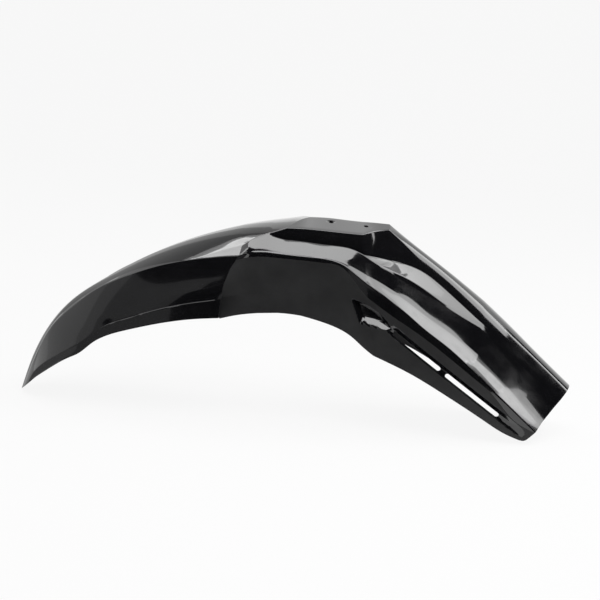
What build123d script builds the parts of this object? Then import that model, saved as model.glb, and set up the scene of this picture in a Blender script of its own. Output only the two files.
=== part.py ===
"""High front mudguard of an off-road motorcycle, moulded in one piece.

The origin is the middle of the bolt pattern, on the plane of the bolt seats. +X runs to the tail, +Z is up,
and the guard is mirrored about Y = 0. Its form is drawn as feature lines on one half, from beak to tail.
Station planes fan along the guard and cut those lines into thin closed sections. The guard is a row of
lofts through its sections, which meet where the real surface has a sharp edge across it.
"""
from build123d import *
from dataclasses import dataclass
from math import cos, radians, sin
import os

# Search along a feature line for its point on a plane
SEARCH_STEPS = 60
BISECTIONS = 30

# Moulding
WALL = 2.5
ROUND_CROWN = 0.0           # flatness of a crown's top, 0 for a parabola and less for straighter flanks
PEAKED_CROWN = -0.5
FLARE_SAG = 0.06            # hollow of the roof above the flare edge, as a share of its width
CHEEK_BULGE = 0.04          # fullness of the beak's cheek, as a share of its height
FLAT_SIDE = 0.0
FILL_SHARE = 0.1            # place of a line that a zone lacks, on the way from the line above to the next
EDGE_SHARE = 0.1            # length of the crown's end that gives its slope, as a share of its half width

# Bolt seats on the plateau, flat at z = 0
BOLT_SPACING_X = 50.0
BOLT_SPACING_Y = 32.0
BOLT_HOLE_D = 6.6
SEAT_D = 14.0
SEAT_CLEARANCE = 10.0       # height of the room kept clear above a seat
BOSS_D = 18.0
BOSS_HEIGHT = 10.0

# Vent slots through the tail's sides, from the front one to the rear one
SLOT_WIDTH = 6.6
SLOT_LENGTHS = (83.0, 96.0)
SLOT_RIB = 10.0
SLOT_START_X = 76.0
SLOT_START_Z = -139.5
SLOT_FALL = 34.5            # degrees below level, towards the tail

# Tail
TAIL_CORNER_R = 9.0


@dataclass
class Zone:
    """Feature lines of one zone, as (x, half width, z), with the forms of its crown and its sides."""

    crown_flatness: float
    side_bulge: float
    lines: dict

    def __post_init__(self):
        self.curves = {name: Edge.make_spline(points) for name, points in self.lines.items()}


HOOD_CROWN = [(-462, 0, -285), (-452, 0, -249), (-436, 0, -207), (-411, 0, -166), (-377, 0, -132),
              (-343, 0, -109), (-284, 0, -72), (-216, 0, -40), (-148, 0, -16), (-113, 0, -7.5), (-85, 0, -2)]
HOOD_EDGE = [(-461, 13, -290), (-455, 16, -270), (-440, 21, -228), (-415, 29, -178), (-375, 40, -136),
             (-330, 50, -104), (-280, 62, -77), (-218, 77, -52), (-165, 74, -39), (-148, 69, -32),
             (-113, 58, -18), (-92, 49.5, -10.5)]
BEAK = Zone(ROUND_CROWN, CHEEK_BULGE, {
    "crown": HOOD_CROWN,
    "inner": HOOD_EDGE,
    "flare": [(-459, 20, -290), (-453, 24, -270), (-440, 30, -234), (-424, 38, -196), (-405, 45, -167),
              (-382, 52, -144), (-339, 63, -109), (-304, 72, -90), (-256, 82, -70), (-218, 89, -60),
              (-178, 94, -51), (-130, 97, -43)],
    "side": [(-448, 37, -274), (-430, 53, -240), (-400, 72, -215), (-378, 82, -199), (-357, 89, -184),
             (-340, 92, -168), (-303, 95, -149), (-244, 99, -127), (-140, 101, -104)],
    "rim": [(-430, 53, -253), (-390, 76, -221), (-366, 86, -206), (-345, 91, -187), (-299, 96, -165),
            (-257, 99, -152), (-215, 101, -142), (-150, 101, -134)],
})
FORK_RELIEF = Zone(ROUND_CROWN, FLAT_SIDE, {
    "crown": HOOD_CROWN,
    "inner": HOOD_EDGE,
    "roof": [(-140, 80, -40), (-126, 74, -38), (-92, 72, -39)],
    "flare": [(-140, 83, -45), (-126, 77, -43), (-92, 75, -43)],
    "side": [(-180, 71, -113), (-163, 71, -111), (-134, 70.5, -105), (-100, 70, -100)],
    "rim": [(-180, 70.5, -146), (-163, 70.5, -140), (-134, 70, -133), (-100, 70, -128)],
})
RELIEF_START = Zone(ROUND_CROWN, FLAT_SIDE, {
    "crown": HOOD_CROWN,
    "inner": HOOD_EDGE,
    "flare": BEAK.lines["flare"],
    "side": FORK_RELIEF.lines["side"],
    "rim": FORK_RELIEF.lines["rim"],
})
PLATEAU = Zone(PEAKED_CROWN, FLAT_SIDE, {
    "crown": [(-95, 0, -4), (-85, 0, -2), (-56, 0, 2.5), (0, 0, 2), (58, 0, 1)],
    "inner": [(-95, 48, -9.5), (-56, 47, -8), (-20, 47, -9), (30, 47, -10)],
    "floor": [(-95, 53, -31), (-56, 52, -37), (-20, 52, -38), (34, 50, -40)],
    "ridge": [(-95, 58, -24), (-56, 58, -25), (-20, 58, -27), (5, 58, -29), (36, 59, -43)],
    "roof": [(-95, 72, -39), (-56, 72, -41), (-20, 72, -43), (-5, 71, -44), (9, 67, -43), (36, 62, -50)],
    "flare": [(-95, 75, -43), (-56, 75, -44), (-20, 75, -46), (-5, 76, -50), (26, 82, -69), (40, 85, -77)],
    "side": [(-100, 70, -100), (-56, 70, -98), (-17, 71, -100), (10, 78, -103), (30, 84, -113),
             (50, 88, -124)],
    "rim": [(-100, 70, -128), (-56, 70, -129), (-14, 71, -139), (12, 75, -149), (30, 82, -160),
            (44, 90, -171), (55, 91, -175)],
})
PLATEAU_END = Zone(ROUND_CROWN, FLAT_SIDE, {
    "crown": [(0, 0, 2), (19, 0, 1.8), (58, 0, 1)],
    "inner": [(21, 47, -10), (45, 22, -6), (58, 16, -5), (64, 15, -5)],
    "floor": [(24, 51, -40), (45, 40, -43), (64, 33, -47), (74, 30, -49)],
    "ridge": [(24, 59, -37), (45, 58, -48), (64, 56, -56), (74, 55, -60)],
    "roof": [(24, 65, -46), (45, 61, -52), (64, 59, -59), (74, 58, -64)],
    "flare": [(30, 83, -71), (45, 86, -80), (69, 90, -95), (80, 92, -103)],
    "side": [(36, 85, -117), (55, 89, -128), (77, 92, -142), (88, 92.5, -149)],
    "rim": [(46, 90, -172), (62, 91, -178), (83, 92, -186), (94, 92, -191)],
})
SCOOP = Zone(ROUND_CROWN, FLAT_SIDE, {
    "crown": [(58, 0, 1), (96, 0, -27), (142, 0, -58.5), (204, 0, -103)],
    "inner": [(57, 16, -4), (60, 16, -6), (100, 20, -42), (142, 26, -78), (206, 38, -131)],
    "floor": [(57, 34, -45), (60, 34, -46), (87, 30, -51), (142, 29, -81), (206, 40, -133)],
    "ridge": [(57, 56, -53), (60, 56, -54), (79, 54, -62), (142, 48, -97), (206, 42, -135)],
    "roof": [(57, 59, -57), (60, 59, -58), (79, 57, -67), (142, 50.5, -100), (206, 45, -138)],
    "flare": [(60, 89, -90), (66, 90, -93), (112, 96, -125), (157, 98, -155), (203, 96, -193)],
    "side": [(70, 91, -137), (77, 92, -141), (150, 95, -186), (210, 92.5, -228)],
    "rim": [(75, 91.5, -183), (83, 92, -186), (153, 93, -220), (200, 90.5, -247)],
})
TAIL = Zone(ROUND_CROWN, FLAT_SIDE, {
    "crown": [(190, 0, -93), (204, 0, -103), (253, 0, -143), (310, 0, -190), (337, 0, -212), (345, 0, -218)],
    "inner": [(190, 36, -117), (204, 38, -129), (258, 38, -183), (320, 37, -233)],
    "roof": [(190, 46, -124), (204, 45, -136), (258, 46, -189), (316, 46, -241)],
    "flare": [(180, 97, -174), (203, 96, -193), (243, 92, -227), (286, 86, -265), (296, 85, -273)],
    "side": [(170, 94, -200), (210, 92.5, -228), (240, 90, -249), (278, 86, -272.5), (288, 85, -279)],
    "rim": [(160, 93, -224), (206, 90, -250), (250, 85.5, -274), (271, 84, -281), (280, 84, -284)],
})

# Feature lines that a loft follows, from the crown down to the rim
BEAK_EDGES = ("inner", "flare", "side", "rim")
ARCH_EDGES = ("inner", "roof", "flare", "side", "rim")
VALLEY_EDGES = ("inner", "floor", "ridge", "roof", "flare", "side", "rim")

# Station planes, as (x on the crown, lean of the plane's foot towards the tail in degrees)
NOSE_PLANES = [(-462, 135.9), (-453, 116.2), (-440, 97.6), (-418, 81.1), (-390, 65.2)]
BEAK_PLANES = [(-352, 46.5), (-300, 23.5), (-245, 6.1), (-190, -5.2)]
RETURN_PLANE = (-148, -10.0)
RETURN_FRONT_PLANE = (RETURN_PLANE[0] - WALL, RETURN_PLANE[1])
RELIEF_PLANES = [(-128, -6.4), (-108, -4.2)]
POCKET_PLANES = [(-85, -2.3)]
PLATEAU_PLANES = [(-56, -0.4), (-30, 3.3), (-8, 8.2), (6, 9.6), (19, 10.0)]
PLATEAU_END_PLANES = [(36, 8.8), (58, 7.6)]
SCOOP_PLANES = [(80, 5.8), (110, 4.1), (150, 0.7)]
SCOOP_END_PLANES = [(203, -7.2)]
TAIL_PLANES = [(240, -13.0), (288, -25.0), (337, -43.7)]

# Lofts in front of the fork relief and behind it, each from the last plane of the one before
FRONT_LOFTS = [
    (BEAK_EDGES, [(BEAK, NOSE_PLANES)]),
    (BEAK_EDGES, [(BEAK, BEAK_PLANES + [RETURN_FRONT_PLANE])]),
]
REAR_LOFTS = [
    (ARCH_EDGES, [(RELIEF_START, [RETURN_PLANE]), (FORK_RELIEF, RELIEF_PLANES)]),
    (VALLEY_EDGES, [(PLATEAU, POCKET_PLANES)]),
    (VALLEY_EDGES, [(PLATEAU, PLATEAU_PLANES)]),
    (VALLEY_EDGES, [(PLATEAU_END, PLATEAU_END_PLANES)]),
    (VALLEY_EDGES, [(SCOOP, SCOOP_PLANES), (TAIL, SCOOP_END_PLANES)]),
    (ARCH_EDGES, [(TAIL, TAIL_PLANES)]),
]


def first_point(curve, signed):
    """First point of a curve where the signed distance passes zero."""
    start = signed(curve @ 0)
    ends = [step / SEARCH_STEPS for step in range(1, SEARCH_STEPS + 1)]
    high = next(end for end in ends if signed(curve @ end) * start <= 0)
    low = high - 1 / SEARCH_STEPS
    for _ in range(BISECTIONS):
        middle = (low + high) / 2
        if signed(curve @ middle) * start > 0:
            low = middle
        else:
            high = middle
    return curve @ high


def between(start, end, share, lift=0.0):
    """Point part way from start to end, lifted outwards by a share of their distance."""
    run, drop = end[0] - start[0], end[1] - start[1]
    return start[0] + run * share + drop * lift, start[1] + drop * share - run * lift


def inset(runs, distance):
    """The same runs of points moved inwards, with mitred corners."""
    points = runs[0][:1] + [point for run in runs for point in run[1:]]
    befores = [(-points[1][0], points[1][1])] + points
    moved = []
    for index, point in enumerate(points):
        before = Vector(point[0] - befores[index][0], point[1] - befores[index][1]).normalized()
        after = before
        if index + 1 < len(points):
            after = Vector(points[index + 1][0] - point[0], points[index + 1][1] - point[1]).normalized()
        bisector = (before + after).normalized()
        reach = distance / bisector.dot(after)
        moved.append((point[0] - bisector.Y * reach, point[1] + bisector.X * reach))
    return [moved[2 * index:2 * index + 3] for index in range(len(runs))]


class Station:
    """A plane across a zone. Places on it are (half width, depth below the crown)."""

    def __init__(self, zone, crown_x, lean):
        self.zone = zone
        self.crown = first_point(zone.curves["crown"], lambda point: point.X - crown_x)
        self.down = Vector(sin(radians(lean)), 0, -cos(radians(lean)))
        self.along = Vector(0, 1, 0).cross(self.down)

    def cross(self, curve):
        """Where a feature line passes through the plane."""
        point = first_point(curve, lambda point: (point - self.crown).dot(self.along))
        return point.Y, (point - self.crown).dot(self.down)

    def place(self, half_width, depth):
        return self.crown + self.down * depth + Vector(0, half_width, 0)

    def corners(self, names):
        """Corners of the half section. A line that the zone lacks lies straight between its neighbours."""
        found = {name: self.cross(self.zone.curves[name]) for name in names if name in self.zone.curves}
        corners = []
        for index, name in enumerate(names):
            after = next(later for later in names[index:] if later in found)
            corners.append(found[name] if name in found else between(corners[-1], found[after], FILL_SHARE))
        return corners

    def half_outline(self, names):
        """Runs of three points down one half of the section, each run one smooth edge."""
        corners = self.corners(names)
        width, drop = corners[0]
        end_slope = 2 * (1 + self.zone.crown_flatness)
        runs = [[(0.0, 0.0), (width * (1 - EDGE_SHARE), drop * (1 - end_slope * EDGE_SHARE)), corners[0]]]
        lifts = {"flare": self.zone.side_bulge}
        if "roof" in self.zone.curves:
            lifts["roof"] = -FLARE_SAG
        for name, start, end in zip(names, corners, corners[1:]):
            runs.append([start, between(start, end, 0.5, lifts.get(name, 0.0)), end])
        return runs

    def crown_edge(self, width, top, bottom):
        """Crown from one side to the other, as a fourth-degree curve with its middle at the top."""
        flatness = self.zone.crown_flatness
        drops = (1, -flatness, (4 * flatness - 1) / 3, -flatness, 1)
        points = [self.place(width * (index / 2 - 1), top + (bottom - top) * drop)
                  for index, drop in enumerate(drops)]
        return Edge.make_bezier(*points)

    def skin_edges(self, runs):
        """Edges of one skin of the section, from one rim over the crown to the other."""
        crown, sides = runs[0], runs[1:]
        mirrored = [[(-width, depth) for width, depth in reversed(run)] for run in reversed(sides)]
        curves = [[Edge.make_spline([self.place(*point) for point in run]) for run in half]
                  for half in (mirrored, sides)]
        return curves[0] + [self.crown_edge(crown[-1][0], crown[0][1], crown[-1][1])] + curves[1]

    def outside(self, names):
        return self.skin_edges(self.half_outline(names))

    def inside(self, names):
        return self.skin_edges(inset(self.half_outline(names), WALL))


def closed_section(outside, inside):
    """Section of a wall between two skins, closed along both rims."""
    near_rim = Edge.make_line(outside[-1] @ 1, inside[-1] @ 1)
    far_rim = Edge.make_line(inside[0] @ 0, outside[0] @ 0)
    return Wire(outside + [near_rim] + inside + [far_rim])


def chain(lofts):
    """Lofts joined end to end."""
    joined = []
    last = []
    for names, parts in lofts:
        stations = last + [Station(zone, *plane) for zone, planes in parts for plane in planes]
        sections = [closed_section(station.outside(names), station.inside(names)) for station in stations]
        joined.append(Solid.make_loft(sections))
        last = stations[-1:]
    return joined


def return_wall():
    """Wall across the step from the beak's side into the fork relief."""
    sections = []
    for plane in (RETURN_FRONT_PLANE, RETURN_PLANE):
        beak = Station(BEAK, *plane)
        relief = Station(RELIEF_START, *plane)
        sections.append(closed_section(beak.outside(BEAK_EDGES), relief.inside(ARCH_EDGES)))
    return Solid.make_loft(sections)


def guard_shell():
    """The whole moulding, from the beak to the tail."""
    pieces = chain(FRONT_LOFTS) + [return_wall()] + chain(REAR_LOFTS)
    shell = pieces[0]
    for piece in pieces[1:]:
        shell += piece
    return shell


def round_tail_corners(shell):
    """Rounds the two lower corners of the tail's end, seen from the side."""
    across_wall = shell.edges().filter_by(lambda edge: edge.length < 2 * WALL and edge.center().X > 0)
    return fillet(across_wall.sort_by(Axis.Z)[:2], TAIL_CORNER_R)


def bolt_places():
    return GridLocations(BOLT_SPACING_X, BOLT_SPACING_Y, 2, 2)


def add_bolt_seats(shell):
    """Bosses under the plateau, flat seats on it and a clearance hole through each."""
    below = (Align.CENTER, Align.CENTER, Align.MAX)
    above = (Align.CENTER, Align.CENTER, Align.MIN)
    bosses = bolt_places() * Cylinder(BOSS_D / 2, BOSS_HEIGHT, align=below)
    seats = bolt_places() * Cylinder(SEAT_D / 2, SEAT_CLEARANCE, align=above)
    holes = bolt_places() * Cylinder(BOLT_HOLE_D / 2, 3 * BOSS_HEIGHT)
    return shell + bosses - seats - holes


def cut_vent_slots(shell):
    """The row of slots, cut straight across the guard."""
    row = Location((SLOT_START_X, 0, SLOT_START_Z), (0, SLOT_FALL, 0))
    reach = shell.bounding_box().size.Y
    start = 0.0
    for length in SLOT_LENGTHS:
        outline = Plane.XZ * Pos(start + length / 2, 0) * SlotOverall(length, SLOT_WIDTH)
        shell -= row * extrude(outline, reach, both=True)
        start += length + SLOT_RIB
    return shell


if __name__ == "__main__":
    guard = round_tail_corners(guard_shell())
    guard = cut_vent_slots(add_bolt_seats(guard))
    os.makedirs("parts", exist_ok=True)
    export_step(guard, "parts/front_mudguard.step")
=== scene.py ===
from dataclasses import dataclass, field, replace
from math import cos, radians, sin, tan

import bmesh
import bpy
import numpy as np
from mathutils import Matrix, Vector


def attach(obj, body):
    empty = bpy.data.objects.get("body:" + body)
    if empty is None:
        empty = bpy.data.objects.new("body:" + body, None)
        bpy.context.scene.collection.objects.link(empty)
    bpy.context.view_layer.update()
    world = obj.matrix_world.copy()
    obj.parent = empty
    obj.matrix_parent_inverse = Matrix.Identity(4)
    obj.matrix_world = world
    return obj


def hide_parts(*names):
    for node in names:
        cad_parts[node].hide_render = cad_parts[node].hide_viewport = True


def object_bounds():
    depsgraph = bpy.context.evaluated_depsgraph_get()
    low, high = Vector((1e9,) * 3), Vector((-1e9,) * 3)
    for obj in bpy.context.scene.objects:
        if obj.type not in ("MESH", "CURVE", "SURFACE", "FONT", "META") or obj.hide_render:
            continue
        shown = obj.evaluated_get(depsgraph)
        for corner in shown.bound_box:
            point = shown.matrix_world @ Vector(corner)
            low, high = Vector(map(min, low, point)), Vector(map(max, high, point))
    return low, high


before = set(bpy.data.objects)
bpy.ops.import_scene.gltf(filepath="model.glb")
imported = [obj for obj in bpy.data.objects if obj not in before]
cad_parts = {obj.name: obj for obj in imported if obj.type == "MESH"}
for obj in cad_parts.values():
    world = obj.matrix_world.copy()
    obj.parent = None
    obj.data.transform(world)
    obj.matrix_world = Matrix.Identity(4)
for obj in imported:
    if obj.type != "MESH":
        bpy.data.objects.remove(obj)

CAD_LOW, CAD_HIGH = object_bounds()
MM = 0.001                  # metres in a millimetre

# Moulding, in millimetres
WALL = 2.5
EDGE_ROUND = 1.6            # reach of the rounding on each side of an outer corner
INNER_ROUND = 0.8
ROUND_CROWN = 0.0           # flatness of a crown's top, from 0, a parabola, to 1, flat with falling edges
PEAKED_CROWN = -0.5         # straighter flanks than a parabola
FLARE_SAG = 0.06            # hollow of the roof above the flare edge, as a share of its width
ROOF_CREASE = 0.55          # place of the hollow's crease, from the roof line to the flare edge
CREASE_HALF_WIDTH = 0.03
CHEEK_BULGE = 0.04          # fullness of the beak's cheek, as a share of its height
FILL_SHARE = 0.1            # place of a line that a zone lacks, on the way from the line above to the next
EDGE_SHARE = 0.1            # length of a strip's end that gives its slope there, as a share of the strip
CORNER_LIMIT = 0.4          # most of a strip that one rounded corner takes

# Crease where the hood meets the plateau, as a share of the crown's half width
HOOD_SHARE = 0.96
PEAK_SHARE = 0.04
CREASE_POWER = 3            # of its fall with that share, on its way from the hood's edge to the peak

# Bolt seats on the plateau, flat at z = 0
BOLT_SPACING = (50.0, 32.0)
BOLT_HOLE_D = 6.6
SEAT_D = 14.0
SEAT_CLEARANCE = 10.0       # height that is cut free above a seat
BOSS_D = 18.0
BOSS_HEIGHT = 10.0
BOSS_TOP = -3.0             # middle of a boss's top, inside the plateau's wall
BOSS_SLOPE = 0.234          # fall of a boss's ends towards the sides, as the plateau's

# Vent slots through the tail's sides, from the front one to the rear one
SLOT_WIDTH = 6.6
SLOT_LENGTHS = (83.0, 96.0)
SLOT_RIB = 10.0
SLOT_START = (76.0, -139.5)  # x and z of the front slot's front end
SLOT_FALL = 34.5            # degrees
SLOT_LINE_RUN = (-300.0, 400.0)  # from the slots' start, to both ends of a line along them

# Rounded lower corners of the tail
TAIL_CORNER_R = 9.0
TAIL_CORNER_RUN = 4 * TAIL_CORNER_R  # length of the rim that gives its direction there

# Step line on the beak's cheek, above the strip along its rim
CHEEK_STEP = 1.4            # how far the cheek lies behind the strip
CHEEK_STEP_RUN = 16.0       # height over which the cheek sinks
CHEEK_STEP_FOOT = 1.6       # height over which it comes back to the strip
CHEEK_STEP_FADE = (-352.0, -322.0)  # x where the step starts and where it is full

# Making of the mesh
LINE_SAMPLES = 400          # points along a feature line's curve
ROUND_POINTS = 32           # points around a circle
MERGE_MM = 0.005
SHARP_DEGREES = 38.0
MATTE_DEPTH = 0.4           # deepest press that still has the matte finish
CUT_REACH = 150.0           # half length of a cutter through both sides
SIDE_HALF_WIDTH = 62.0      # half width from which a point lies on a side
SIDE_BLEND = 6.0            # run over which a form on a side fades in or out
RETURN_Z = -16.0            # height of the crown at the front of the fork relief

# Rows from each station to the next
BEAK_ROWS = [7, 7, 7, 7, 8, 8, 8, 8, 8]
REAR_ROWS = [[7, 7], [10], [6, 6], [9, 9, 12, 13], [18, 20], [11, 13, 15, 18], [11, 13, 13]]

# Photograph's camera, in millimetres and degrees: its distance, the width that its image spans there,
# its angles and what its middle looks at
VIEW_DISTANCE = 2400.0
VIEW_WIDTH = 870.0
VIEW_ELEVATION = 10.5
VIEW_TURN = 3.0
VIEW_ROLL = 4.2
VIEW_MIDDLE = Vector((-61.87, 0.0, -119.79))
VIEW_CLIP = 100.0           # metres
SENSOR = 36.0

NOISE_MIDDLE = (0.35, 0.65)  # values that most of a noise lies between

# Studio, in metres
AMBIENT = 0.35              # strength of the surroundings' soft light
FLOOR_GLOW = 0.9            # share of the floor's look that is plain white
FLOOR_TONE = 0.86           # of the rest of its look
FLOOR_HALF_WIDTH = 9.0
FLOOR_FRONT = -40.0
SWEEP_START = 3.0           # where the floor starts to curve up into the backdrop
SWEEP_RADIUS = 2.5
BACKDROP_TOP = 6.0
# Soft boxes: name, middle, long direction, facing direction, size and brightness
SOFT_BOXES = [
    ("shoulder_box", (0.2, -0.9, 1.5), (1.0, 0.0, 0.0), (0.0, 0.0, -1.0), (1.1, 1.2), 3.6),
    ("facet_box", (-0.74, 0.8, 1.5), (-0.3, 0.954, 0.0), (0.0, 0.0, -1.0), (0.75, 0.5), 3.0),
    ("scoop_box", (0.78, 0.62, 1.5), (1.0, 0.0, 0.0), (0.0, 0.0, -1.0), (0.5, 0.5), 3.2),
    ("tail_box", (1.55, 0.28, 1.5), (0.974, 0.228, 0.0), (0.0, 0.0, -1.0), (1.75, 0.95), 3.5),
    ("tail_upright", (2.3, 0.745, 1.28), (0.0, 0.0, 1.0), (-1.0, 0.0, 0.0), (0.4, 0.21), 3.5),
    ("tail_strip", (2.3, 0.19, 1.02), (0.0, 1.0, 0.0), (-1.0, 0.0, 0.0), (1.32, 0.18), 3.5),
]
# Cards that only mirrors see: name, two ends on the plan, heights of each end above the floor and tone
CARDS = [
    ("room_front", (-0.87, -3.05), (2.4, -3.05), (0.0, 4.2), (0.0, 5.0), 0.01),
    ("room_right", (2.4, -3.05), (2.4, 0.5), (0.0, 5.0), (0.0, 5.0), 0.01),
    ("room_tail", (2.35, 0.87), (2.35, 1.4), (1.38, 1.74), (1.38, 1.78), 0.01),
    ("room_corner", (-2.25, -1.0), (-0.85, -3.1), (0.0, 4.0), (0.0, 4.0), 0.01),
    ("room_left", (-2.05, -1.09), (-0.87, -3.0), (0.0, 1.34), (0.0, 0.39), 0.22),
    ("cheek_side", (-2.35, -0.6), (-2.05, -1.09), (0.0, 1.6), (0.0, 1.34), 0.36),
    ("nose_side", (-2.6, 0.6), (-2.35, -0.6), (0.0, 1.7), (0.0, 1.6), 0.5),
    ("nose_back", (-2.2, 2.4), (-2.6, 0.6), (0.0, 1.7), (0.0, 1.7), 0.6),
    ("back_dark", (-2.2, 2.4), (-0.98, 2.4), (0.0, 2.7), (0.0, 2.7), 0.2),
    ("back_grey", (-0.98, 2.4), (-0.71, 2.4), (0.0, 2.7), (0.0, 2.7), 0.36),
    ("back_pale", (-0.71, 2.4), (-0.49, 2.4), (0.0, 2.7), (0.0, 2.7), 0.68),
]
# Such cards on the floor: name, corners on the plan and tone
FLOOR_CARDS = [
    ("floor_dark", [(-0.3, -0.25), (-0.87, -3.0), (2.4, -0.25), (2.4, -3.0)], 0.01),
    ("floor_back", [(-2.6, -0.25), (-2.6, 2.4), (-0.44, -0.25), (-0.44, 2.4)], 0.35),
    ("floor_grey", [(-0.9, -0.25), (-2.35, -0.6), (-0.3, -0.25), (-0.87, -3.0)], 0.2),
]


@dataclass
class Zone:
    """Feature lines of one zone, as (x, half width, z), with the forms of its crown and its sides."""

    crown_flatness: float
    side_bulge: float
    lines: dict
    curves: dict = field(init=False)

    def __post_init__(self):
        self.curves = {name: smooth_line(points) for name, points in self.lines.items()}


def spline(knots, values, places):
    """Natural cubic spline through values at the knots, read at places."""
    steps = np.diff(knots)
    slopes = np.diff(values, axis=0) / steps[:, None]
    count = len(knots)
    system = np.eye(count)
    bends = np.zeros_like(values)
    for row in range(1, count - 1):
        system[row, row - 1:row + 2] = steps[row - 1], 2 * (steps[row - 1] + steps[row]), steps[row]
        bends[row] = 6 * (slopes[row] - slopes[row - 1])
    bends = np.linalg.solve(system, bends)
    span = np.clip(np.searchsorted(knots, places) - 1, 0, count - 2)
    step = steps[span][:, None]
    run = (places - knots[span])[:, None]
    first = slopes[span] - step * (2 * bends[span] + bends[span + 1]) / 6
    cubic = run ** 3 * np.diff(bends, axis=0)[span] / (6 * step)
    return values[span] + run * first + run ** 2 * bends[span] / 2 + cubic


def smooth_line(points):
    """Many points along the smooth curve through a feature line's points."""
    points = np.array(points, dtype=float)
    knots = np.concatenate([[0.0], np.cumsum(np.linalg.norm(np.diff(points, axis=0), axis=1))])
    return spline(knots, points, np.linspace(0.0, knots[-1], LINE_SAMPLES))


HOOD_CROWN = [(-462, 0, -285), (-452, 0, -249), (-436, 0, -207), (-411, 0, -166), (-377, 0, -132),
              (-343, 0, -109), (-284, 0, -72), (-216, 0, -40), (-148, 0, -16), (-113, 0, -7.5),
              (-85, 0, -2)]
HOOD_EDGE = [(-461, 13, -290), (-455, 16, -270), (-440, 21, -228), (-415, 29, -178), (-375, 40, -136),
             (-330, 50, -104), (-280, 66, -77.5), (-218, 87, -58.5), (-190, 86, -49.5), (-165, 81.5, -40),
             (-148, 73.5, -32.8), (-113, 58.5, -18), (-92, 49.5, -10.5)]
BEAK = Zone(ROUND_CROWN, CHEEK_BULGE, {
    "crown": HOOD_CROWN,
    "inner": HOOD_EDGE,
    "flare": [(-459, 20, -290), (-453, 24, -270), (-440, 30, -234), (-424, 38, -196), (-405, 45, -167),
              (-382, 52, -144), (-339, 63, -109), (-304, 72, -90), (-256, 82, -70), (-218, 89, -60),
              (-178, 94, -51), (-130, 97, -43)],
    "side": [(-448, 37, -274), (-430, 53, -240), (-400, 72, -215), (-378, 82, -199), (-357, 89, -184),
             (-340, 92, -168), (-303, 95, -149), (-244, 99, -127), (-140, 101, -104)],
    "rim": [(-430, 53, -253), (-390, 76, -221), (-366, 86, -206), (-345, 91, -187), (-299, 96, -165),
            (-257, 99, -152), (-215, 101, -142), (-150, 101, -134)],
})
FORK_RELIEF = Zone(ROUND_CROWN, 0.0, {
    "crown": HOOD_CROWN,
    "inner": HOOD_EDGE,
    "roof": [(-140, 80, -40), (-126, 74, -38), (-92, 72, -39)],
    "flare": [(-140, 83, -45), (-126, 77, -43), (-92, 75, -43)],
    "side": [(-180, 71, -113), (-163, 71, -111), (-134, 70.5, -105), (-100, 70, -100)],
    "rim": [(-180, 70.5, -146), (-163, 70.5, -140), (-134, 70, -133), (-100, 70, -128)],
})
RELIEF_START = Zone(ROUND_CROWN, 0.0, {
    "crown": HOOD_CROWN,
    "inner": HOOD_EDGE,
    "roof": [(-180, 91, -49), (-153, 92.6, -44.7), (-130, 94, -41)],
    "flare": BEAK.lines["flare"],
    "side": FORK_RELIEF.lines["side"],
    "rim": FORK_RELIEF.lines["rim"],
})
PLATEAU = Zone(PEAKED_CROWN, 0.0, {
    "crown": [(-95, 0, -4), (-85, 0, -2), (-56, 0, 2.5), (0, 0, 2), (58, 0, 1)],
    "inner": [(-95, 48, -9.5), (-56, 47, -8), (-20, 47, -9), (30, 47, -10)],
    "floor": [(-95, 53, -31), (-56, 52, -37), (-20, 52, -38), (34, 50, -40)],
    "ridge": [(-95, 58, -24), (-56, 58, -25), (-20, 58, -27), (5, 58, -29), (36, 59, -43)],
    "roof": [(-95, 72, -39), (-56, 72, -41), (-20, 72, -43), (-5, 71, -44), (9, 67, -43), (36, 62, -50)],
    "flare": [(-95, 75, -43), (-56, 75, -44), (-20, 75, -46), (-5, 76, -50), (26, 82, -69), (40, 85, -77)],
    "side": [(-100, 70, -100), (-56, 70, -98), (-17, 71, -100), (10, 78, -103), (30, 84, -113),
             (50, 88, -124)],
    "rim": [(-100, 70, -128), (-56, 70, -129), (-14, 71, -139), (12, 75, -149), (30, 82, -160),
            (44, 90, -171), (55, 91, -175)],
})
PLATEAU_END = Zone(ROUND_CROWN, 0.0, {
    "crown": [(0, 0, 2), (19, 0, 1.8), (58, 0, 1)],
    "inner": [(21, 47, -10), (45, 22, -6), (58, 16, -5), (64, 15, -5)],
    "floor": [(24, 51, -40), (45, 40, -43), (64, 33, -47), (74, 30, -49)],
    "ridge": [(24, 59, -37), (45, 58, -48), (64, 56, -56), (74, 55, -60)],
    "roof": [(24, 65, -46), (45, 61, -52), (64, 59, -59), (74, 58, -64)],
    "flare": [(30, 83, -71), (45, 86, -80), (69, 90, -95), (80, 92, -103)],
    "side": [(36, 85, -117), (55, 89, -128), (77, 92, -142), (88, 92.5, -149)],
    "rim": [(46, 90, -172), (62, 91, -178), (83, 92, -186), (94, 92, -191)],
})
SCOOP = Zone(ROUND_CROWN, 0.0, {
    "crown": [(58, 0, 1), (96, 0, -25.5), (142, 0, -56), (204, 0, -99.5)],
    "inner": [(57, 16, -4), (60, 16, -6), (100, 20, -40.5), (142, 26, -75), (206, 38, -129)],
    "floor": [(57, 34, -45), (60, 34, -46), (87, 30, -51), (142, 29, -80), (206, 40, -132)],
    "ridge": [(57, 56, -53), (60, 56, -54), (79, 54, -62), (142, 48, -97), (206, 42, -135)],
    "roof": [(57, 59, -57), (60, 59, -58), (79, 57, -67), (142, 50.5, -100), (206, 45, -138)],
    "flare": [(60, 89, -90), (66, 90, -93), (112, 96, -125), (157, 98, -155), (203, 96, -193)],
    "side": [(70, 91, -137), (77, 92, -141), (150, 95, -186), (210, 92.5, -228)],
    "rim": [(75, 91.5, -183), (83, 92, -186), (153, 93, -220), (200, 90.5, -247)],
})
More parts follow.
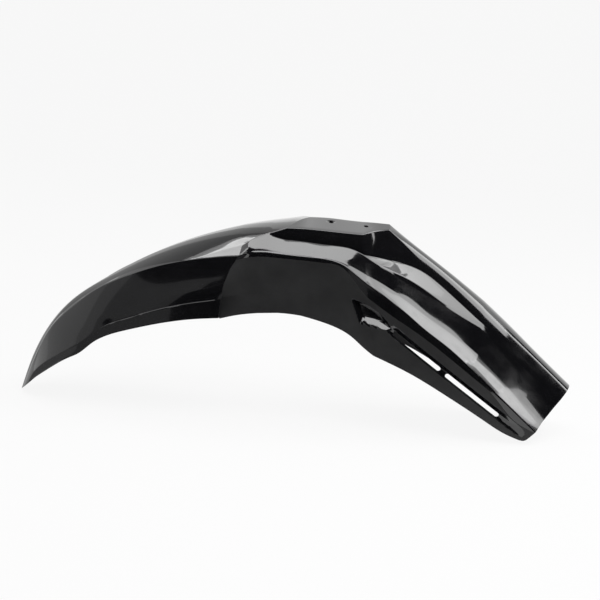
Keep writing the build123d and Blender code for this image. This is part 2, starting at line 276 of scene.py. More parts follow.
TAIL = Zone(ROUND_CROWN, 0.0, {
    "crown": [(190, 0, -89.5), (204, 0, -99.5), (253, 0, -140.5), (310, 0, -189.5), (337, 0, -212),
              (345, 0, -218)],
    "inner": [(190, 36, -116), (204, 38, -127), (258, 38, -177), (320, 37, -227)],
    "roof": [(190, 46, -124), (204, 45, -136), (258, 46, -189), (316, 46, -241)],
    "flare": [(180, 97, -174), (203, 96, -193), (243, 92, -227), (286, 86, -265), (296, 85, -273)],
    "side": [(170, 94, -200), (210, 92.5, -228), (240, 90, -249), (278, 86, -272.5), (288, 85, -279)],
    "rim": [(160, 93, -224), (206, 90, -250), (250, 85.5, -274), (271, 84, -281), (280, 84, -284)],
})

# Feature lines from the crown down to the rim
EDGES = ("inner", "floor", "ridge", "roof", "flare", "side", "rim")

# Upper edge of the matte finish on the side, as (x, z) seen from the side
MATTE_EDGE = [(-150, -46), (-5, -50), (8, -65), (34, -92), (68, -113), (105, -133), (141, -156),
              (186, -188), (224, -217), (259, -256), (275, -272)]

# Station planes, as (x on the crown, lean of the plane's foot towards the tail in degrees)
BEAK_PLANES = [(-462, 135.9), (-453, 116.2), (-440, 97.6), (-418, 81.1), (-390, 65.2), (-352, 46.5),
               (-300, 23.5), (-245, 6.1), (-190, -5.2)]
RETURN_PLANE = (-148, -10.0)
RETURN_FRONT_PLANE = (RETURN_PLANE[0] - WALL, RETURN_PLANE[1])
RELIEF_PLANES = [(-128, -6.4), (-108, -4.2)]
POCKET_PLANE = (-85, -2.3)
CREASE_PLANE = (-71, -1.4)
PEAK_PLANE = (-56, -0.4)
PLATEAU_PLANES = [(-30, 3.3), (-8, 8.2), (6, 9.6), (19, 10.0)]
PLATEAU_END_PLANES = [(36, 8.8), (58, 7.6)]
SCOOP_PLANES = [(80, 5.8), (110, 4.1), (150, 0.7)]
SCOOP_END_PLANE = (203, -7.2)
TAIL_PLANES = [(240, -13.0), (288, -25.0), (337, -43.7)]

# Points across each strip of a half section on the outer and the inner skin, and along each rounded corner
OUTER_POINTS = {"crown": 12, "hood": 7, "inner": 4, "floor": 5, "ridge": 4, "roof": 8,
                "gloss": 4, "matte": 16, "flare": 11, "lip": 4, "side": 11}
INNER_POINTS = {"crown": 7, "hood": 4, "inner": 3, "floor": 3, "ridge": 3, "roof": 5,
                "gloss": 2, "matte": 5, "flare": 6, "lip": 2, "side": 6}
CORNER_POINTS = 3

# Least and most share of a strip at which the matte finish starts and the channel's two edges lie
MATTE_LIMITS = (0.1, 0.6)
CHANNEL_TOP_LIMITS = (0.7, 0.92)
CHANNEL_FOOT_LIMITS = (0.12, 0.4)

# Dimple ahead of the vent slots, seen from the side, as (x, z)
DIMPLE_TOP = (12.0, -97.0)
DIMPLE_FOOT = (26.0, -130.0)
DIMPLE_END = (77.0, -138.0)
DIMPLE_BOW = 9.0            # rise of its upper edge above a straight line
DIMPLE_DEPTH = 8.0
DIMPLE_SLOPES = (0.9, 1.8, 0.75)  # of its front, upper and lower walls

# Channel that the vent slots are cut in, with a slanted upper wall
CHANNEL_TOP = 9.5           # above the slots' middle line
CHANNEL_FOOT = -4.9
CHANNEL_SLOPES = (1.0, 1.73)  # of its upper and lower walls
CHANNEL_DEPTH = 6.0
CHANNEL_RUN_IN = 12.0       # run ahead of the slots over which it deepens
CHANNEL_RUN_OUT = 48.0      # run behind the slots over which it ends
INNER_REACH = 8.0           # room that the inner skin leaves around the pressed forms
REACH_STEPS = 5             # places across that room where the press is measured

# Front edge of the fork relief, as (z, shift towards the tail from its station plane)
RELIEF_EDGE = [(-30, 6.0), (-45, 6.0), (-55, 2.5), (-65, -1.4), (-90, -5.0), (-115, -3.5), (-140, 0.0)]
RELIEF_EDGE_REACH = 12.0    # distance at which the shift has faded to about a third


def between(start, end, share, lift=0.0):
    """Point part way from start to end, lifted outwards by a share of their distance."""
    run, drop = end[0] - start[0], end[1] - start[1]
    return start[0] + run * share + drop * lift, start[1] + drop * share - run * lift


def crossing(curve, origin, along):
    """First point where a line of points passes through a plane."""
    signed = (curve - origin) @ along
    index = int(np.argmax(signed * signed[0] <= 0))
    share = signed[index - 1] / (signed[index - 1] - signed[index])
    return curve[index - 1] + (curve[index] - curve[index - 1]) * share


@dataclass
class Strip:
    """One strip of a half section, from start to end, with its fullness or a crown's form."""

    start: tuple
    end: tuple
    lift: float = 0.0
    flatness: float = None
    crease: float = None

    def at(self, share):
        """Point at a share of the way along the strip."""
        if self.crease is not None:
            rise = share / self.crease if share < self.crease else (1 - share) / (1 - self.crease)
            return np.array(between(self.start, self.end, share, self.lift * rise))
        if self.flatness is None:
            return np.array(between(self.start, self.end, share, self.lift * 4 * share * (1 - share)))
        drop = (1 - self.flatness) * share ** 2 + self.flatness * share ** 4
        fall = (self.end[1] - self.start[1]) * (drop - share)
        return np.array(between(self.start, self.end, share)) + (0.0, fall)

    def length(self):
        """Straight distance between the strip's ends."""
        return float(np.hypot(self.end[0] - self.start[0], self.end[1] - self.start[1]))


class Station:
    """A plane across a zone. Places on it are (half width, depth below the crown)."""

    def __init__(self, zone, plane, hood_share=HOOD_SHARE, hood_flatness=None):
        crown_x, lean = plane
        self.zone = zone
        self.hood_share = hood_share
        self.hood_flatness = hood_flatness
        above = np.array((crown_x, 0.0, 0.0))
        self.crown = crossing(zone.curves["crown"], above, np.array((1.0, 0.0, 0.0)))
        self.down = np.array((sin(radians(lean)), 0.0, -cos(radians(lean))))
        self.along = np.cross((0.0, 1.0, 0.0), self.down)

    def corners(self):
        """Corners of the half section. A line that the zone lacks lies straight between its neighbours."""
        found = {}
        for name, curve in self.zone.curves.items():
            point = crossing(curve, self.crown, self.along)
            found[name] = (point[1], (point - self.crown) @ self.down)
        corners = {}
        last = None
        for index, name in enumerate(EDGES):
            after = next(later for later in EDGES[index:] if later in found)
            last = found[name] if name in found else between(last, found[after], FILL_SHARE)
            corners[name] = last
        return corners

    def strips(self):
        """Strips of the outer skin, from the crown down to the rim."""
        corners = self.corners()
        inner = corners["inner"]
        if self.hood_share in (HOOD_SHARE, PEAK_SHARE):
            whole = Strip((0.0, 0.0), inner, flatness=self.zone.crown_flatness)
            hood = tuple(whole.at(self.hood_share))
        else:
            hood = (inner[0] * self.hood_share, inner[1] * self.hood_share ** CREASE_POWER)
        strips = {"crown": Strip((0.0, 0.0), hood, flatness=ROUND_CROWN),
                  "hood": Strip(hood, inner, flatness=self.hood_flatness)}
        for name, after in zip(EDGES, EDGES[1:]):
            strips[name] = Strip(corners[name], corners[after])
        strips["flare"].lift = self.zone.side_bulge
        if "roof" in self.zone.lines:
            strips["roof"].lift = -FLARE_SAG
            strips["roof"].crease = ROOF_CREASE
        return strips

    def place(self, points):
        """Points of the half section, in the guard's own frame."""
        points = np.asarray(points)
        return self.crown + points[:, 1:] * self.down + points[:, :1] * (0.0, 1.0, 0.0)

    def share_of(self, edge, strip, limits):
        """Where a line seen from the side lies on a strip of the side, within limits."""
        edge = np.array([(x, 0.0, z) for x, z in edge], dtype=float)
        signed = (edge - self.crown) @ self.along
        if "roof" not in self.zone.lines or signed[0] * signed[-1] > 0:
            return limits[0]
        depth = (crossing(edge, self.crown, self.along) - self.crown) @ self.down
        return float(np.clip((depth - strip.start[1]) / (strip.end[1] - strip.start[1]), *limits))

    def columns(self, strips, reach, splits, counts):
        """Points down one skin: each strip's own points, then the rounded corner after it."""
        names = list(strips)
        trims = [min(reach / max(strips[name].length(), reach), CORNER_LIMIT) for name in names]
        points = []
        for index, name in enumerate(names):
            strip = strips[name]
            first = trims[index] if index else 0.0
            last = 1 - trims[index] if index + 1 < len(names) else 1.0
            shares = np.linspace(first, last, counts[name])
            if name == "flare":
                gloss = np.linspace(first, splits[0], counts["gloss"], endpoint=False)
                matte = np.linspace(splits[0], splits[1], counts["matte"], endpoint=False)
                shares = np.concatenate([gloss, matte, np.linspace(splits[1], last, counts[name])])
            elif name == "roof":
                half = counts[name] // 2
                shares = np.concatenate([np.linspace(first, ROOF_CREASE - CREASE_HALF_WIDTH, half),
                                         np.linspace(ROOF_CREASE + CREASE_HALF_WIDTH, last, half)])
            elif name == "side":
                shares = np.concatenate([np.linspace(first, splits[2], counts["lip"], endpoint=False),
                                         np.linspace(splits[2], last, counts[name])])
            points += [strip.at(share) for share in shares]
            if index + 1 < len(names):
                start, corner = strip.at(last), np.array(strip.end)
                end = strips[names[index + 1]].at(trims[index + 1])
                for share in np.linspace(0, 1, CORNER_POINTS + 2)[1:-1]:
                    bend = corner * 2 * share * (1 - share)
                    points.append(start * (1 - share) ** 2 + bend + end * share ** 2)
        return self.place(points)

    def inset(self, strips):
        """The same strips moved inwards by the wall, with mitred corners."""
        names = list(strips)
        corner_list = [np.array(strips[names[0]].start)] + [np.array(strips[name].end) for name in names]
        ends = []
        for name in names:
            strip = strips[name]
            ends.append((strip.at(EDGE_SHARE) - strip.at(0.0), strip.at(1.0) - strip.at(1 - EDGE_SHARE)))
        moved = []
        for index, corner in enumerate(corner_list):
            before = ends[index - 1][1] if index else np.array((1.0, 0.0))
            after = ends[index][0] if 0 < index < len(names) else before
            before = before / np.linalg.norm(before)
            after = after / np.linalg.norm(after)
            bisector = (before + after) / np.linalg.norm(before + after)
            reach = WALL / (bisector @ after)
            moved.append(tuple(corner + np.array((-bisector[1], bisector[0])) * reach))
        return {name: replace(strips[name], start=moved[index], end=moved[index + 1])
                for index, name in enumerate(names)}

    def skins(self):
        """Outer and inner columns of the half section."""
        strips = self.strips()
        splits = (self.share_of(MATTE_EDGE, strips["flare"], MATTE_LIMITS),
                  self.share_of(slot_line(CHANNEL_TOP), strips["flare"], CHANNEL_TOP_LIMITS),
                  self.share_of(slot_line(CHANNEL_FOOT), strips["side"], CHANNEL_FOOT_LIMITS))
        return (self.columns(strips, EDGE_ROUND, splits, OUTER_POINTS),
                self.columns(self.inset(strips), INNER_ROUND, splits, INNER_POINTS))


def loft(stations, row_counts):
    """Rows of outer and inner columns through the stations, smooth from the first to the last."""
    skins = [station.skins() for station in stations]
    rows = []
    for skin in (0, 1):
        sections = np.array([pair[skin] for pair in skins])
        gaps = np.linalg.norm(np.diff(sections, axis=0), axis=2).mean(axis=1)
        knots = np.concatenate([[0.0], np.cumsum(gaps)])
        places = np.concatenate([np.linspace(a, b, count, endpoint=False)
                                 for a, b, count in zip(knots, knots[1:], row_counts)] + [knots[-1:]])
        flat = sections.reshape(len(stations), -1)
        rows.append(spline(knots, flat, places).reshape(len(places), -1, 3))
    return rows


def slot_line(above):
    """Two points far apart on a line along the slots, at a height above their middle line, as (x, z)."""
    fall = radians(SLOT_FALL)
    start = (SLOT_START[0] + above * sin(fall), SLOT_START[1] + above * cos(fall))
    return [(start[0] + run * cos(fall), start[1] - run * sin(fall)) for run in SLOT_LINE_RUN]


def slot_places(points):
    """Distance along the slots and height above their middle line, seen from the side."""
    fall = radians(SLOT_FALL)
    across = points[..., 0] - SLOT_START[0]
    up = points[..., 2] - SLOT_START[1]
    return np.stack([across * cos(fall) - up * sin(fall), across * sin(fall) + up * cos(fall)], axis=-1)


def press_depth(points):
    """How far the dimple and the channel press the side in."""
    seen = points[..., ::2]
    walls = []
    corners = [np.array(corner) for corner in (DIMPLE_FOOT, DIMPLE_TOP, DIMPLE_END)]
    for index, slope in enumerate(DIMPLE_SLOPES):
        start, end = corners[index], corners[(index + 1) % len(corners)]
        length = np.linalg.norm(end - start)
        run = (end - start) / length
        inside = (seen - start) @ np.array((run[1], -run[0]))
        if start is corners[1]:
            share = np.clip((seen - start) @ run / length, 0, 1)
            inside = inside + DIMPLE_BOW * 4 * share * (1 - share)
        walls.append(inside * slope)
    dimple = np.clip(np.min(walls, axis=0), 0, DIMPLE_DEPTH)
    place = slot_places(points)
    slots_end = sum(SLOT_LENGTHS) + SLOT_RIB
    ramp = np.clip((place[..., 0] + CHANNEL_RUN_IN) / CHANNEL_RUN_IN, 0, 1)
    ramp = ramp * np.clip((slots_end + CHANNEL_RUN_OUT - place[..., 0]) / CHANNEL_RUN_OUT, 0, 1)
    upper = (CHANNEL_TOP - place[..., 1]) * CHANNEL_SLOPES[0]
    lower = (place[..., 1] - CHANNEL_FOOT) * CHANNEL_SLOPES[1]
    channel = np.clip(np.minimum(upper, lower), 0, CHANNEL_DEPTH) * ramp
    return np.where(points[..., 1] > SIDE_HALF_WIDTH, np.maximum(dimple, channel), 0)


def cheek_press(points, plane_x):
    """How far the cheek sinks towards its step line, ahead of the fork relief's plane."""
    line = BEAK.curves["side"]
    above = points[..., 2] - np.interp(points[..., 0], line[:, 0], line[:, 2])
    share = np.where(above > 0, 1 - above / CHEEK_STEP_RUN, 1 + above / CHEEK_STEP_FOOT)
    fade_in = (points[..., 0] - CHEEK_STEP_FADE[0]) / (CHEEK_STEP_FADE[1] - CHEEK_STEP_FADE[0])
    fade_out = (plane_x - points[..., 0]) / SIDE_BLEND
    return CHEEK_STEP * np.clip(share, 0, 1) * np.clip(fade_in, 0, 1) * np.clip(fade_out, 0, 1)


def pressed(rows, reach):
    """Rows with the dimple, the channel and the cheek pressed in, and the relief's front edge bent.

    The dimple and the channel are widened by a reach.
    """
    moved = rows.copy()
    above = np.array((sin(radians(SLOT_FALL)), 0.0, cos(radians(SLOT_FALL))))
    depths = [press_depth(rows + above * reach * step) for step in np.linspace(-1, 1, REACH_STEPS)]
    moved[..., 1] -= np.max(depths, axis=0)
    lean = tan(radians(RETURN_PLANE[1]))
    plane_x = RETURN_PLANE[0] - lean * (rows[..., 2] - RETURN_Z)
    moved[..., 1] -= cheek_press(rows, plane_x)
    heights, shifts = zip(*RELIEF_EDGE[::-1])
    near = np.exp(-((rows[..., 0] - plane_x) / RELIEF_EDGE_REACH) ** 2)
    on_side = np.clip((rows[..., 1] - SIDE_HALF_WIDTH) / SIDE_BLEND, 0, 1)
    moved[..., 0] += np.interp(rows[..., 2], heights, shifts) * near * on_side
    return moved


def guard_rows():
    """All rows of the outer and the inner skin, from the nose to the tail, and the number of beak rows."""
    beak = [Station(BEAK, plane) for plane in BEAK_PLANES]
    beak_out = loft(beak + [Station(BEAK, RETURN_PLANE)], BEAK_ROWS)[0]
    beak_in = loft(beak + [Station(BEAK, RETURN_FRONT_PLANE)], BEAK_ROWS)[1]
    return_in = Station(RELIEF_START, RETURN_FRONT_PLANE).skins()[1]
    relief = [Station(RELIEF_START, RETURN_PLANE)]
    relief += [Station(FORK_RELIEF, plane) for plane in RELIEF_PLANES]
    pocket = [relief[-1], Station(PLATEAU, POCKET_PLANE)]
    crease = [pocket[-1], Station(PLATEAU, CREASE_PLANE, (HOOD_SHARE + PEAK_SHARE) / 2),
              Station(PLATEAU, PEAK_PLANE, PEAK_SHARE)]
    plateau = crease[-1:] + [Station(PLATEAU, plane, PEAK_SHARE) for plane in PLATEAU_PLANES]
    plateau_end = plateau[-1:] + [Station(PLATEAU_END, plane, PEAK_SHARE) for plane in PLATEAU_END_PLANES]
    scoop = plateau_end[-1:] + [Station(SCOOP, plane, PEAK_SHARE, ROUND_CROWN) for plane in SCOOP_PLANES]
    scoop.append(Station(TAIL, SCOOP_END_PLANE, PEAK_SHARE, ROUND_CROWN))
    tail = scoop[-1:] + [Station(TAIL, plane, PEAK_SHARE, ROUND_CROWN) for plane in TAIL_PLANES]
    stretches = (relief, pocket, crease, plateau, plateau_end, scoop, tail)
    rear = [loft(stations, counts) for stations, counts in zip(stretches, REAR_ROWS)]
    outer = [beak_out, rear[0][0]] + [rows[0][1:] for rows in rear[1:]]
    inner = [beak_in, return_in[None], rear[0][1]] + [rows[1][1:] for rows in rear[1:]]
    inner_rows = pressed(np.concatenate(inner), INNER_REACH)
    return pressed(np.concatenate(outer), 0.0), inner_rows, len(beak_out)


def mirrored(rows):
    """Whole rows, from one rim over the crown to the other."""
    left = rows[:, :0:-1] * (1.0, -1.0, 1.0)
    return np.concatenate([left, rows], axis=1)


def quads(grid):
    """Quads over a grid of points, facing up at the crown."""
    for row, after in zip(grid, grid[1:]):
        for column in range(len(row) - 1):
            yield row[column], after[column], after[column + 1], row[column + 1]


def mesh_object(name, work):
    """A linked object with the mesh that was worked on."""
    mesh = bpy.data.meshes.new(name)
    work.to_mesh(mesh)
    work.free()
    made = bpy.data.objects.new(name, mesh)
    bpy.context.collection.objects.link(made)
    return made


def moulding():
    """The closed thin moulding, before its holes."""
    outer, inner, beak_rows = guard_rows()
    outer, inner = mirrored(outer), mirrored(inner)
    work = bmesh.new()
    outside = [[work.verts.new(point * MM) for point in row] for row in outer]
    inside = [[work.verts.new(point * MM) for point in row] for row in inner]
    above_matte = list(OUTER_POINTS)[:list(OUTER_POINTS).index("matte")]
    first_matte = sum(OUTER_POINTS[name] for name in above_matte) + CORNER_POINTS * (len(above_matte) - 1)
    middle = len(outer[0]) // 2
    for index, quad in enumerate(quads(outside)):
        row, column = divmod(index, len(outer[0]) - 1)
        face = work.faces.new(quad)
        from_crown = max(middle - 1 - column, column - middle)
        # The press is read from further out, where the face lay before it
        middle_mm = np.array(face.calc_center_median()) / MM
        middle_mm[1] = abs(middle_mm[1]) + DIMPLE_DEPTH
        flat = press_depth(middle_mm) < MATTE_DEPTH
        face.material_index = int(row >= beak_rows and from_crown >= first_matte and flat)
    for quad in quads(inside):
        work.faces.new(quad[::-1]).material_index = 1
    work.faces.new(outside[0] + inside[0][::-1])
    work.faces.new(inside[-1] + outside[-1][::-1])
    # Behind the beak, the inner skin has one row more than the outer skin
    partners = [row + int(row >= beak_rows) for row in range(len(outside))]
    for side in (0, -1):
        for row in range(len(outside) - 1):
            facing = inside[partners[row]:partners[row + 1] + 1]
            corners = [outside[row][side], outside[row + 1][side]]
            work.faces.new(corners + [points[side] for points in reversed(facing)])
    bmesh.ops.remove_doubles(work, verts=work.verts, dist=MERGE_MM * MM)
    bmesh.ops.dissolve_degenerate(work, edges=work.edges, dist=MERGE_MM * MM)
    bmesh.ops.recalc_face_normals(work, faces=work.faces)
    return mesh_object("mudguard_moulding", work)


def prism(name, outline, direction, start, end):
    """A closed prism from a loop of points, between two distances along a direction."""
    work = bmesh.new()
    low = [work.verts.new((point + direction * start) * MM) for point in outline]
    high = [work.verts.new((point + direction * end) * MM) for point in outline]
    work.faces.new(low)
    work.faces.new(high)
    for index in range(len(outline)):
        after = (index + 1) % len(outline)
        work.faces.new((low[index], low[after], high[after], high[index]))
    bmesh.ops.recalc_face_normals(work, faces=work.faces)
    return mesh_object(name, work)


def circle(middle, diameter):
    """A circle's outline on the plane of the seats."""
    radius = diameter / 2
    turns = np.linspace(0, 2 * np.pi, ROUND_POINTS, endpoint=False)
    return [Vector((middle[0] + radius * cos(turn), middle[1] + radius * sin(turn), 0)) for turn in turns]


def boss_outline(place):
    """A boss's outline, falling towards the sides like the plateau above it."""
    return [Vector((point.x, point.y, BOSS_SLOPE * (abs(place[1]) - abs(point.y))))
            for point in circle(place, BOSS_D)]


def slot_outline(start, length):
    """A vent slot's outline, seen from the side, from its distance along the row."""
    fall = radians(SLOT_FALL)
    radius = SLOT_WIDTH / 2
    outline = []
    for middle, first in ((start + length - radius, -np.pi / 2), (start + radius, np.pi / 2)):
        for turn in np.linspace(first, first + np.pi, ROUND_POINTS // 2):
            along, above = middle + radius * cos(turn), radius * sin(turn)
            outline.append(Vector((SLOT_START[0] + along * cos(fall) + above * sin(fall), 0,
                                   SLOT_START[1] - along * sin(fall) + above * cos(fall))))
    return outline


def tail_corner():
    """Outline of what the rounding takes off the tail's lower corners, seen from the side."""
    station = Station(TAIL, TAIL_PLANES[-1])
    rim = station.crown + station.down * station.corners()["rim"][1]
    line = TAIL.curves["rim"]
    before = line[np.argmin(np.abs(line[:, 0] - rim[0] + TAIL_CORNER_RUN))] - rim
    before[1] = 0
    before = before / np.linalg.norm(before)
    half = np.arccos(before @ -station.down) / 2
    bisector = (before - station.down) / np.linalg.norm(before - station.down)
    middle = rim + bisector * TAIL_CORNER_R / sin(half)
    reach = TAIL_CORNER_R / np.tan(half)
    first = (rim + before * reach - middle) / TAIL_CORNER_R
    last = (rim - station.down * reach - middle) / TAIL_CORNER_R
    outline = [rim - bisector * TAIL_CORNER_R, middle + first * (TAIL_CORNER_R + WALL)]
    for share in np.linspace(0, 1, ROUND_POINTS // 2):
        spoke = first * (1 - share) + last * share
        outline.append(middle + spoke * TAIL_CORNER_R / np.linalg.norm(spoke))
    outline.append(middle + last * (TAIL_CORNER_R + WALL))
    return [Vector((point[0], 0, point[2])) for point in outline]


def combine(target, tools, operation):
    """Joins the tools to the target or cuts them from it, then removes them."""
    for tool in tools:
        step = target.modifiers.new("step", "BOOLEAN")
        step.operation = operation
        step.solver = "EXACT"
        step.object = tool
    bpy.context.view_layer.update()
    result = bpy.data.meshes.new_from_object(target.evaluated_get(bpy.context.evaluated_depsgraph_get()))
    target.modifiers.clear()
    old = target.data
    target.data = result
    bpy.data.meshes.remove(old)
    for tool in tools:
        bpy.data.meshes.remove(tool.data)


def cut_details(target):
    """Bosses, bolt seats, bolt holes, vent slots and rounded tail corners."""
    up = Vector((0, 0, 1))
    across = Vector((0, 1, 0))
    places = [(x * BOLT_SPACING[0] / 2, y * BOLT_SPACING[1] / 2) for x in (-1, 1) for y in (-1, 1)]
    bosses = [prism("boss", boss_outline(place), up, -BOSS_HEIGHT, BOSS_TOP) for place in places]
    combine(target, bosses, "UNION")
    seats = [prism("seat", circle(place, SEAT_D), up, 0.0, SEAT_CLEARANCE) for place in places]
    combine(target, seats, "DIFFERENCE")
    cutters = [prism("hole", circle(place, BOLT_HOLE_D), up, -2 * BOSS_HEIGHT, BOSS_HEIGHT)
               for place in places]
    start = 0.0
    for length in SLOT_LENGTHS:
        cutters.append(prism("slot", slot_outline(start, length), across, -CUT_REACH, CUT_REACH))
        start += length + SLOT_RIB
    combine(target, cutters, "DIFFERENCE")
    combine(target, [prism("tail_corner", tail_corner(), across, -CUT_REACH, CUT_REACH)], "DIFFERENCE")


def principled(name):
    """A new material with its nodes, links and main shader."""
    made = bpy.data.materials.new(name)
    made.use_nodes = True
    return made, made.node_tree.nodes, made.node_tree.links, made.node_tree.nodes["Principled BSDF"]


def blank_material(name):
    """A new material with its nodes and links, and no shader yet."""
    made = bpy.data.materials.new(name)
    made.use_nodes = True
    made.node_tree.nodes.clear()
    return made, made.node_tree.nodes, made.node_tree.links


def noise_node(nodes, links, scale, detail):
    """A noise fixed to the object, with its scale in waves to a metre."""
    place = nodes.new("ShaderNodeTexCoord")
    noise = nodes.new("ShaderNodeTexNoise")
    noise.inputs["Scale"].default_value = scale
    noise.inputs["Detail"].default_value = detail
    links.new(place.outputs["Object"], noise.inputs["Vector"])
    return noise


def spread(nodes, links, source, low, high):
    """A map from a noise's middle range to low and high values."""
    mapped = nodes.new("ShaderNodeMapRange")
    mapped.inputs["From Min"].default_value = NOISE_MIDDLE[0]
    mapped.inputs["From Max"].default_value = NOISE_MIDDLE[1]
    mapped.inputs["To Min"].default_value = low
    mapped.inputs["To Max"].default_value = high
    links.new(source, mapped.inputs["Value"])
    return mapped.outputs["Result"]


def tint(nodes, links, source, low, high):
    """A colour that wanders between two near tones."""
    ramp = nodes.new("ShaderNodeValToRGB")
    for stop, position, tone in zip(ramp.color_ramp.elements, NOISE_MIDDLE, (low, high)):
        stop.position = position
        stop.color = (*tone, 1)
    links.new(source, ramp.inputs["Fac"])
    return ramp.outputs["Color"]


def relief_bump(nodes, links, shader, source, strength, distance):
    """Fine relief on a shader, from a noise."""
    bump = nodes.new("ShaderNodeBump")
    bump.inputs["Strength"].default_value = strength
    bump.inputs["Distance"].default_value = distance
    links.new(source, bump.inputs["Height"])
    links.new(bump.outputs["Normal"], shader.inputs["Normal"])


def gloss_black():
    """Polished moulded face, with faint flow marks in its tone and its polish."""
    made, nodes, links, shader = principled("moulding_gloss")
    shader.inputs["IOR"].default_value = 1.5
    shader.inputs["Coat Weight"].default_value = 1.0
    shader.inputs["Coat Roughness"].default_value = 0.03
    flow = noise_node(nodes, links, scale=9.0, detail=3.0)
    tone = tint(nodes, links, flow.outputs["Fac"], low=(0.004, 0.004, 0.005), high=(0.007, 0.007, 0.008))
    links.new(tone, shader.inputs["Base Color"])
    polish = noise_node(nodes, links, scale=60.0, detail=4.0)
    roughness = spread(nodes, links, polish.outputs["Fac"], low=0.08, high=0.14)
    links.new(roughness, shader.inputs["Roughness"])
    peel = noise_node(nodes, links, scale=130.0, detail=1.0)
    relief_bump(nodes, links, shader, peel.outputs["Fac"], strength=0.02, distance=0.0004)
    return made


def matte_black():
    """Fine spark-etched texture of the side walls and the underside."""
    made, nodes, links, shader = principled("moulding_matte")
    shader.inputs["IOR"].default_value = 1.45
    wander = noise_node(nodes, links, scale=25.0, detail=4.0)
    tone = tint(nodes, links, wander.outputs["Fac"], low=(0.018, 0.018, 0.019), high=(0.026, 0.026, 0.027))
    links.new(tone, shader.inputs["Base Color"])
    etch = noise_node(nodes, links, scale=1400.0, detail=3.0)
    roughness = spread(nodes, links, etch.outputs["Fac"], low=0.5, high=0.66)
    links.new(roughness, shader.inputs["Roughness"])
    relief_bump(nodes, links, shader, etch.outputs["Fac"], strength=0.25, distance=0.0003)
    return made


def finish_mesh(target):
    """Smooth faces between creases, and the two finishes."""
    for material in (gloss_black(), matte_black()):
        target.data.materials.append(material)
    for face in target.data.polygons:
        face.use_smooth = True
    target.data.set_sharp_from_angle(angle=radians(SHARP_DEGREES))


def view_camera():
    """The photograph's camera, a little above the guard and rolled against it."""
    level = radians(VIEW_ELEVATION)
    turn = radians(VIEW_TURN)
    roll = Matrix.Rotation(-radians(VIEW_ROLL), 3, "Y")
    forward = roll @ Vector((-sin(turn) * cos(level), cos(turn) * cos(level), -sin(level)))
    right = roll @ Vector((cos(turn), sin(turn), 0))
    axes = Matrix((right, right.cross(forward), -forward)).transposed()
    data = bpy.data.cameras.new("view_camera")
    data.sensor_fit = "HORIZONTAL"
    data.sensor_width = SENSOR
    data.lens = SENSOR * VIEW_DISTANCE / VIEW_WIDTH
    data.clip_end = VIEW_CLIP
    camera = bpy.data.objects.new("view_camera", data)
    camera.matrix_world = Matrix.Translation((VIEW_MIDDLE - forward * VIEW_DISTANCE) * MM) @ axes.to_4x4()
    bpy.context.collection.objects.link(camera)
    bpy.context.scene.camera = camera


def stage_sheet(name, rows, material):
    """A stage surface over rows of points, in metres."""
    width = len(rows[0])
    faces = []
    for row in range(len(rows) - 1):
        for first in range(row * width, (row + 1) * width - 1):
            faces.append((first, first + 1, first + width + 1, first + width))
    mesh = bpy.data.meshes.new(name)
    mesh.from_pydata([point for row in rows for point in row], [], faces)
    mesh.materials.append(material)
    for face in mesh.polygons:
        face.use_smooth = True
    made = bpy.data.objects.new(name, mesh)
    bpy.context.collection.objects.link(made)
    return made


def seen_directly(nodes, links):
    """1 for rays from the camera and for those that mirrors and glass send on."""
    path = nodes.new("ShaderNodeLightPath")
    total = path.outputs["Is Camera Ray"]
    for name in ("Is Glossy Ray", "Is Transmission Ray"):
        highest = nodes.new("ShaderNodeMath")
        highest.operation = "MAXIMUM"
        links.new(total, highest.inputs[0])
        links.new(path.outputs[name], highest.inputs[1])
        total = highest.outputs[0]
    return total


def pale_floor():
    """Floor that stays white to the eye and keeps the guard's shadow."""
    made, nodes, links = blank_material("pale_floor")
    diffuse = nodes.new("ShaderNodeBsdfDiffuse")
    diffuse.inputs["Color"].default_value = (FLOOR_TONE, FLOOR_TONE, FLOOR_TONE, 1)
    glow = nodes.new("ShaderNodeEmission")
    glow.inputs["Strength"].default_value = 1.0
    share = nodes.new("ShaderNodeMath")
    share.operation = "MULTIPLY"
    share.inputs[1].default_value = FLOOR_GLOW
    links.new(seen_directly(nodes, links), share.inputs[0])
    mix = nodes.new("ShaderNodeMixShader")
    links.new(share.outputs[0], mix.inputs["Fac"])
    links.new(diffuse.outputs[0], mix.inputs[1])
    links.new(glow.outputs[0], mix.inputs[2])
    output = nodes.new("ShaderNodeOutputMaterial")
    links.new(mix.outputs[0], output.inputs["Surface"])
    return made


def card(name, corners, tone):
    """A card that only mirrors see, of an even tone."""
    made, nodes, links = blank_material(name)
    glow = nodes.new("ShaderNodeEmission")
    glow.inputs["Strength"].default_value = tone
    output = nodes.new("ShaderNodeOutputMaterial")
    links.new(glow.outputs[0], output.inputs["Surface"])
    panel = stage_sheet(name, corners, made)
    panel.visible_camera = False
    panel.visible_diffuse = False
    panel.visible_shadow = False


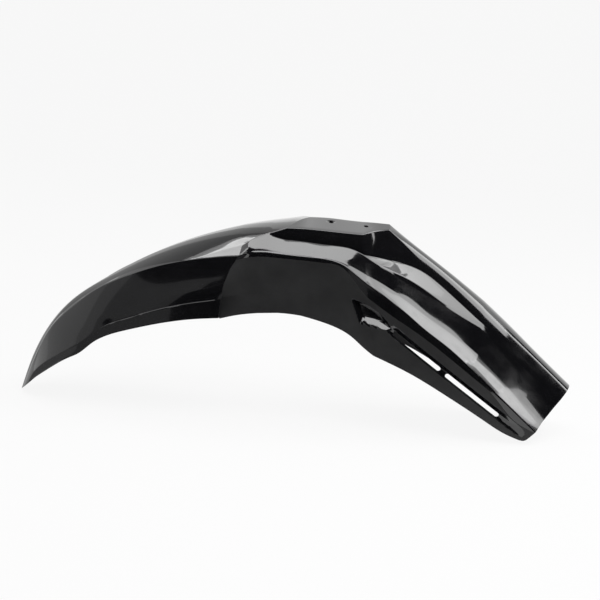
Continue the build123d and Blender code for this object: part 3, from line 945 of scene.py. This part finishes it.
def soft_box(name, middle, along, facing, size, brightness):
    """An area lamp of an even brightness."""
    data = bpy.data.lights.new(name, "AREA")
    data.shape = "RECTANGLE"
    data.size, data.size_y = size
    data.energy = brightness * np.pi * size[0] * size[1]
    lamp = bpy.data.objects.new(name, data)
    along, back = Vector(along), -Vector(facing)
    axes = Matrix((along, back.cross(along), back)).transposed()
    lamp.matrix_world = Matrix.Translation(middle) @ axes.to_4x4()
    lamp.visible_camera = False
    bpy.context.collection.objects.link(lamp)


def white_world():
    """Surroundings that are white to the eye and light the guard softly."""
    world = bpy.data.worlds.new("studio")
    bpy.context.scene.world = world
    world.use_nodes = True
    nodes, links = world.node_tree.nodes, world.node_tree.links
    background = nodes["Background"]
    background.inputs["Color"].default_value = (1, 1, 1, 1)
    strength = nodes.new("ShaderNodeMapRange")
    strength.inputs["To Min"].default_value = AMBIENT
    strength.inputs["To Max"].default_value = 1.0
    links.new(seen_directly(nodes, links), strength.inputs["Value"])
    links.new(strength.outputs["Result"], background.inputs["Strength"])


def studio():
    """Pale floor that sweeps up behind, white surroundings, soft boxes and cards for the dark facets."""
    bpy.context.scene.view_settings.view_transform = "Standard"
    white_world()
    floor_z = CAD_LOW.z
    profile = [(FLOOR_FRONT, floor_z)]
    for turn in np.linspace(0, np.pi / 2, ROUND_POINTS):
        profile.append((SWEEP_START + SWEEP_RADIUS * sin(turn), floor_z + SWEEP_RADIUS * (1 - cos(turn))))
    profile.append((SWEEP_START + SWEEP_RADIUS, BACKDROP_TOP))
    sides = (-FLOOR_HALF_WIDTH, FLOOR_HALF_WIDTH)
    stage_sheet("floor", [[(x, y, z) for x in sides] for y, z in profile], pale_floor())
    for name, start, end, start_heights, end_heights, tone in CARDS:
        ends = [[(*plan, floor_z + height) for height in heights]
                for plan, heights in ((start, start_heights), (end, end_heights))]
        card(name, ends, tone)
    for name, corners, tone in FLOOR_CARDS:
        corners = [(*plan, floor_z + MM) for plan in corners]
        card(name, [corners[:2], corners[2:]], tone)
    for box in SOFT_BOXES:
        soft_box(*box)


guard = moulding()
cut_details(guard)
finish_mesh(guard)
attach(guard, "root")
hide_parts("front_mudguard")
studio()
view_camera()
